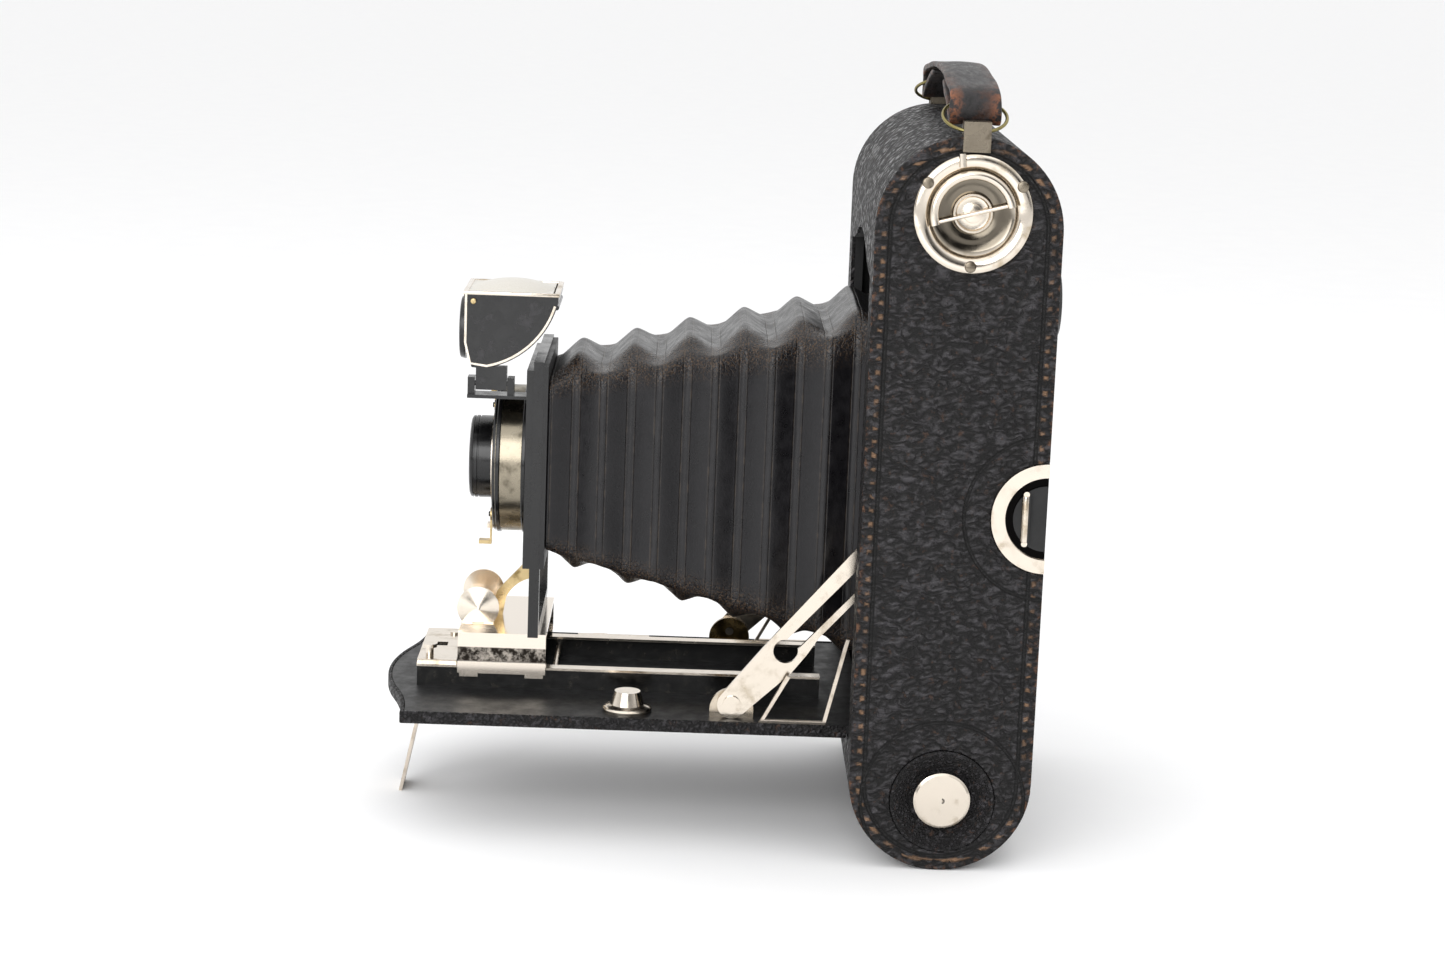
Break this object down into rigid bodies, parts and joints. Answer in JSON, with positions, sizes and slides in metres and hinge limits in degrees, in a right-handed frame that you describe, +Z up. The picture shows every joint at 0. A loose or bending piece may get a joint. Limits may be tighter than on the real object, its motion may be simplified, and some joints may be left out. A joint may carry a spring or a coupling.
{
  "type": "folding camera",
  "caption": "Folding roll-film pocket camera standing open on its end, with leather bellows, drop bed, struts, shutter, reflecting finder, winding key and carrying strap.",
  "frame": {"origin": "on the floor under the middle of the open camera's bounding box", "axes": "+Z up along the case's tall side, -Y the way the lens looks, +X the winding-key side"},
  "size_m": [0.1216, 0.1778, 0.2058],
  "materials": {
    "black_leather": "satin",
    "bellows_leather": "matt",
    "strap_leather": "satin",
    "nickel": "polished",
    "nickel_bright": "satin",
    "aged_brass": "satin",
    "black_enamel": "gloss",
    "black_matt": "matt",
    "bed_black": "satin",
    "spool_wood": "matt",
    "lens_glass": "polished",
    "ground_glass": "matt",
    "ruby_glass": "polished",
    "silvered_glass": "polished",
    "aluminium_body": "satin"
  },
  "bodies": {
    "camera_case": {"body_shell": "aluminium_body", "wrap_leather": "black_leather", "side_leathers": "black_leather", "film_gate": "black_matt", "hinge_rod": "nickel_bright", "strut_studs": "nickel_bright", "key_plate": "nickel", "key_plate_screws": "nickel", "strap_tabs": "nickel", "knob_cup": "black_leather", "catch_plates": "nickel", "bed_panel": "bed_black", "bed_leather": "black_leather", "rails": "nickel", "cross_rod": "nickel_bright", "front_stop_plate": "nickel", "focus_scale": "nickel", "tripod_bush": "nickel", "strut_ears": "nickel", "strut_rivets": "nickel", "struts": "nickel", "spring_wires": "nickel_bright", "leg_bracket": "nickel", "bellows": "bellows_leather"},
    "stand_leg": {"leg": "nickel_bright"},
    "lens_carriage": {"carriage": "nickel", "standard_frame": "black_enamel", "brace": "aged_brass", "lens_board": "nickel", "bellows_frame": "black_matt", "shutter_case": "nickel", "shutter_face": "black_enamel", "lens_barrel": "black_enamel", "front_lens": "lens_glass", "rear_lens_cell": "black_enamel", "finder_bracket": "black_enamel"},
    "finder": {"finder_body": "black_enamel", "finder_lens": "lens_glass", "finder_mirror": "silvered_glass", "finder_glass": "ground_glass"},
    "shutter_release": {"release_lever": "aged_brass"},
    "speed_pointer": {"speed_lever": "aged_brass"},
    "aperture_ring": {"aperture_lever": "nickel"},
    "near_grip": {"pinch_near": "nickel"},
    "far_grip": {"pinch_far": "nickel"},
    "winder": {"winding_hub": "nickel", "take_up_spool": "spool_wood"},
    "winder_bail": {"winding_bail": "nickel"},
    "film_spool": {"supply_spool": "spool_wood"},
    "loading_knob": {"supply_knob": "nickel"},
    "upper_roller": {"roller_top": "nickel_bright"},
    "lower_roller": {"roller_bottom": "nickel_bright"},
    "back": {"back_cover": "aluminium_body", "back_leather": "black_leather", "window_bezel": "black_enamel", "ruby_glass": "ruby_glass"},
    "near_catch": {"catch_near": "nickel"},
    "far_catch": {"catch_far": "nickel"},
    "handle": {"strap": "strap_leather", "strap_rings": "aged_brass"}
  },
  "joints": [
    {"name": "carriage_slide", "type": "slide", "parent": "camera_case", "child": "lens_carriage", "axis": [0, 1, 0], "range_m": [0, 0.1075], "deforming": ["bellows"]},
    {"name": "finder_swivel", "type": "hinge", "parent": "lens_carriage", "child": "finder", "pos_m": [0.0175, -0.0626, 0.1195], "axis": [0, 1, 0], "range_deg": [0, 90]},
    {"name": "leg_fold", "type": "hinge", "parent": "camera_case", "child": "stand_leg", "pos_m": [0, -0.0786, 0.03], "axis": [1, 0, 0], "range_deg": [0, 100]},
    {"name": "release_trip", "type": "hinge", "parent": "lens_carriage", "child": "shutter_release", "pos_m": [0.008, -0.0601, 0.0814], "axis": [0, 1, 0], "range_deg": [-14, 0], "stiffness_Nm_per_rad": 0.004},
    {"name": "speed_turn", "type": "hinge", "parent": "lens_carriage", "child": "speed_pointer", "pos_m": [0, -0.0601, 0.1106], "axis": [0, 1, 0], "range_deg": [-40, 40]},
    {"name": "aperture_turn", "type": "hinge", "parent": "lens_carriage", "child": "aperture_ring", "pos_m": [0, -0.0601, 0.096], "axis": [0, 1, 0], "range_deg": [0, 60]},
    {"name": "grip_press", "type": "slide", "parent": "lens_carriage", "child": "near_grip", "axis": [-1, 0, 0], "range_m": [0, 0.002], "stiffness_N_per_m": 300},
    {"name": "far_grip_press", "type": "slide", "parent": "lens_carriage", "child": "far_grip", "axis": [1, 0, 0], "range_m": [0, 0.002], "stiffness_N_per_m": 300},
    {"name": "winding_turn", "type": "hinge", "parent": "camera_case", "child": "winder", "pos_m": [0, 0.0631, 0.1744], "axis": [1, 0, 0], "continuous": true},
    {"name": "bail_fold", "type": "hinge", "parent": "winder", "child": "winder_bail", "pos_m": [0.0591, 0.0631, 0.1744], "axis": [0, 0.9659, 0.2588], "range_deg": [0, 100]},
    {"name": "film_spool_spin", "type": "hinge", "parent": "camera_case", "child": "film_spool", "pos_m": [0, 0.0631, 0.019], "axis": [1, 0, 0], "continuous": true},
    {"name": "loading_knob_pull", "type": "slide", "parent": "camera_case", "child": "loading_knob", "axis": [1, 0, 0], "range_m": [0, 0.005], "stiffness_N_per_m": 150},
    {"name": "upper_roller_spin", "type": "hinge", "parent": "camera_case", "child": "upper_roller", "pos_m": [0, 0.0806, 0.157], "axis": [1, 0, 0], "continuous": true},
    {"name": "lower_roller_spin", "type": "hinge", "parent": "camera_case", "child": "lower_roller", "pos_m": [0, 0.0806, 0.038], "axis": [1, 0, 0], "continuous": true},
    {"name": "back_lift_off", "type": "slide", "parent": "camera_case", "child": "back", "axis": [0, 1, 0], "range_m": [0, 0.06]},
    {"name": "near_catch_press", "type": "slide", "parent": "camera_case", "child": "near_catch", "axis": [0, -1, 0], "range_m": [0, 0.0018], "stiffness_N_per_m": 300},
    {"name": "far_catch_press", "type": "slide", "parent": "camera_case", "child": "far_catch", "axis": [0, -1, 0], "range_m": [0, 0.0018], "stiffness_N_per_m": 300},
    {"name": "strap_swing", "type": "hinge", "parent": "camera_case", "child": "handle", "pos_m": [0, 0.0631, 0.1949], "axis": [1, 0, 0], "range_deg": [-14, 14]}
  ],
  "couplings": [
    {"joint": "far_grip_press", "follows": "grip_press", "ratio": 1}
  ]
}
